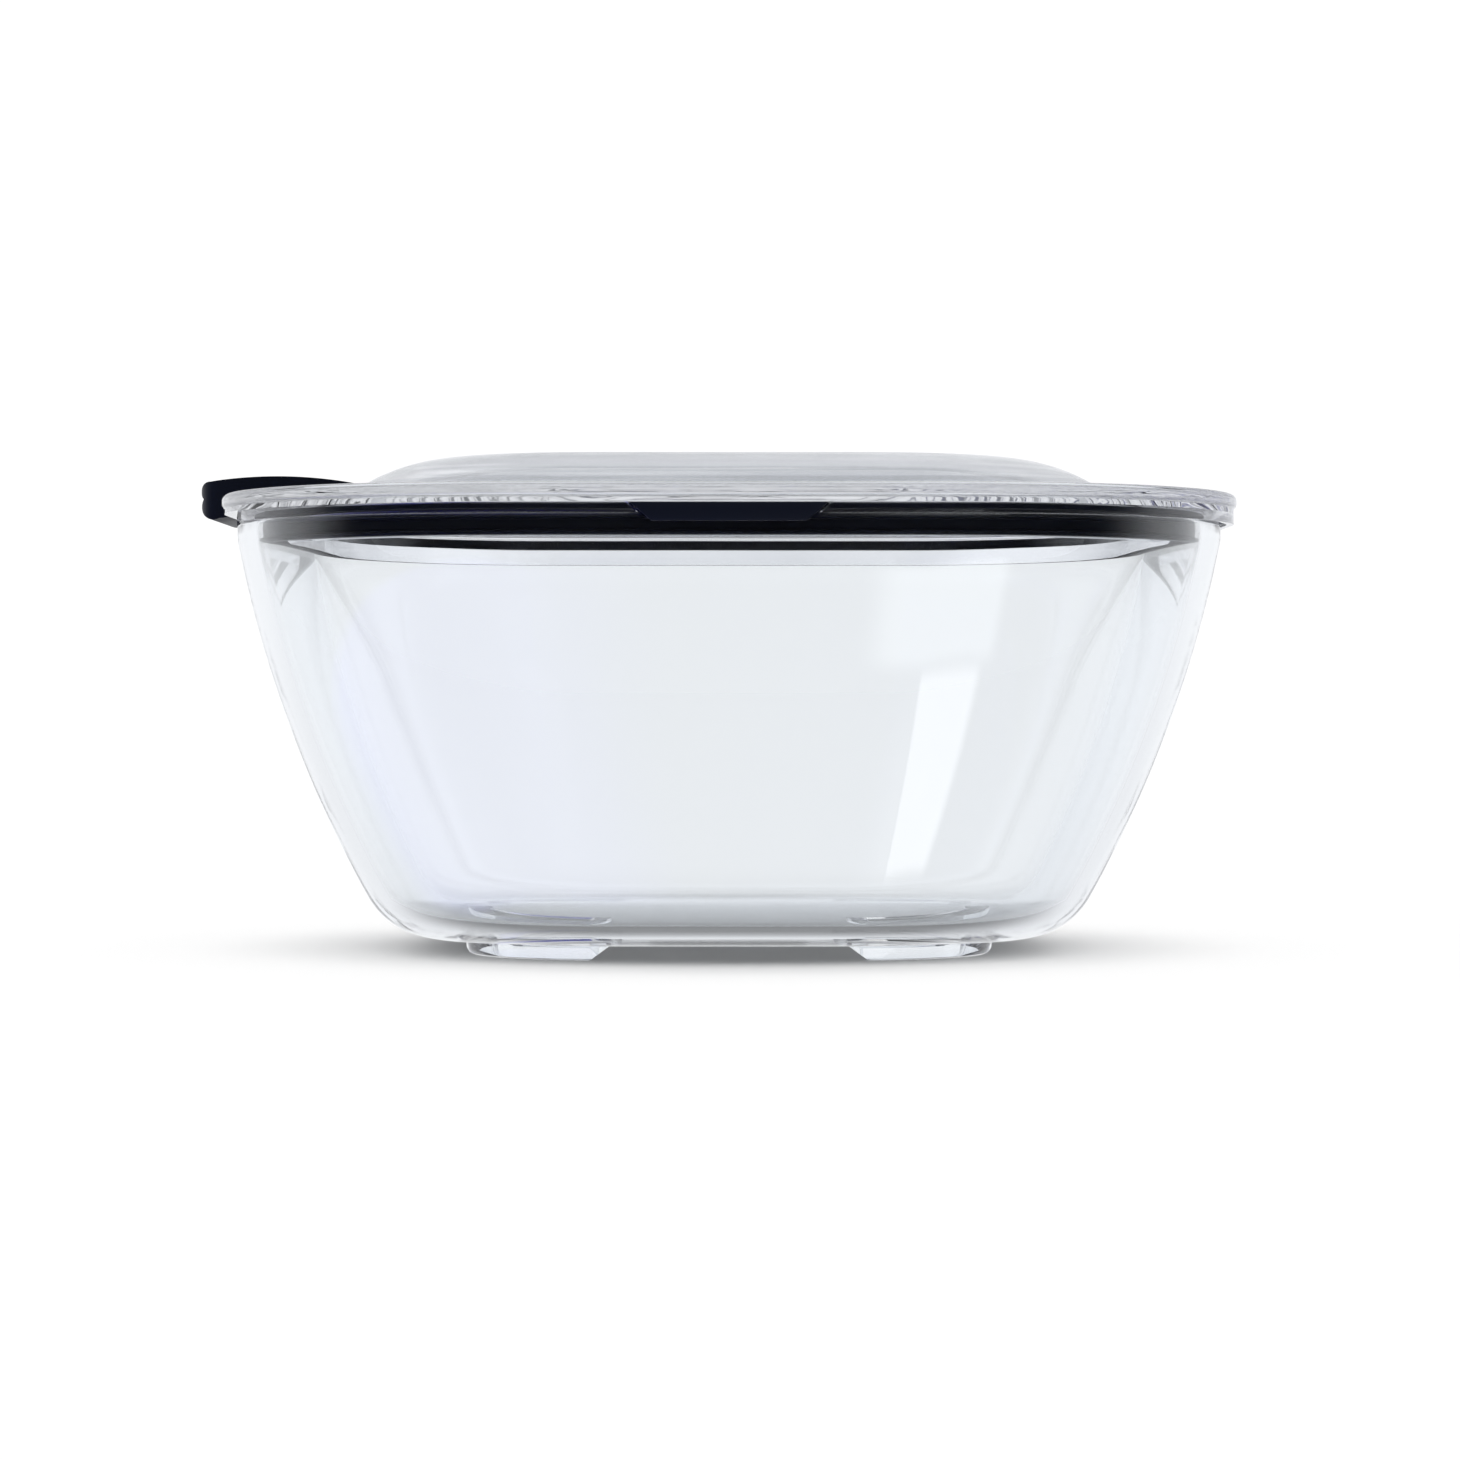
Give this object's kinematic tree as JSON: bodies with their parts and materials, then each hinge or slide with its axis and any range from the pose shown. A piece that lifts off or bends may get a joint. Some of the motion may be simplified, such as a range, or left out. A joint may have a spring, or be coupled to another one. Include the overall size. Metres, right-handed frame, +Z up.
{
  "type": "glass storage container",
  "caption": "Square clear glass bowl on corner feet with a clear domed snap lid, a dark silicone seal and a silicone pull tab that folds over the rim.",
  "frame": {"origin": "on the supporting surface, under the middle of the bowl's four feet", "axes": "+Z up out of the bowl, -Y towards the front, -X towards the pull tab; millimetre model, metres here"},
  "size_m": [0.217, 0.2096, 0.1037],
  "materials": {
    "glass": "polished, clear pressed glass",
    "clear_plastic": "clear, glossy moulded plastic",
    "dark_silicone": "satin navy-black silicone"
  },
  "bodies": {
    "bowl": {"glass_bowl": "glass"},
    "lid_assembly": {"lid": "clear_plastic", "seal_ring": "dark_silicone", "tab_root": "dark_silicone"},
    "tab": {"pull_tab": "dark_silicone"}
  },
  "joints": [
    {"name": "lid_lift", "type": "slide", "parent": "bowl", "child": "lid_assembly", "axis": [0, 0, 1], "range_m": [0, 0.06]},
    {"name": "tab_hinge", "type": "hinge", "parent": "lid_assembly", "child": "tab", "pos_m": [-0.0774, 0, 0.0981], "axis": [0, 1, 0], "range_deg": [0, 95], "stiffness_Nm_per_rad": 0.004}
  ]
}
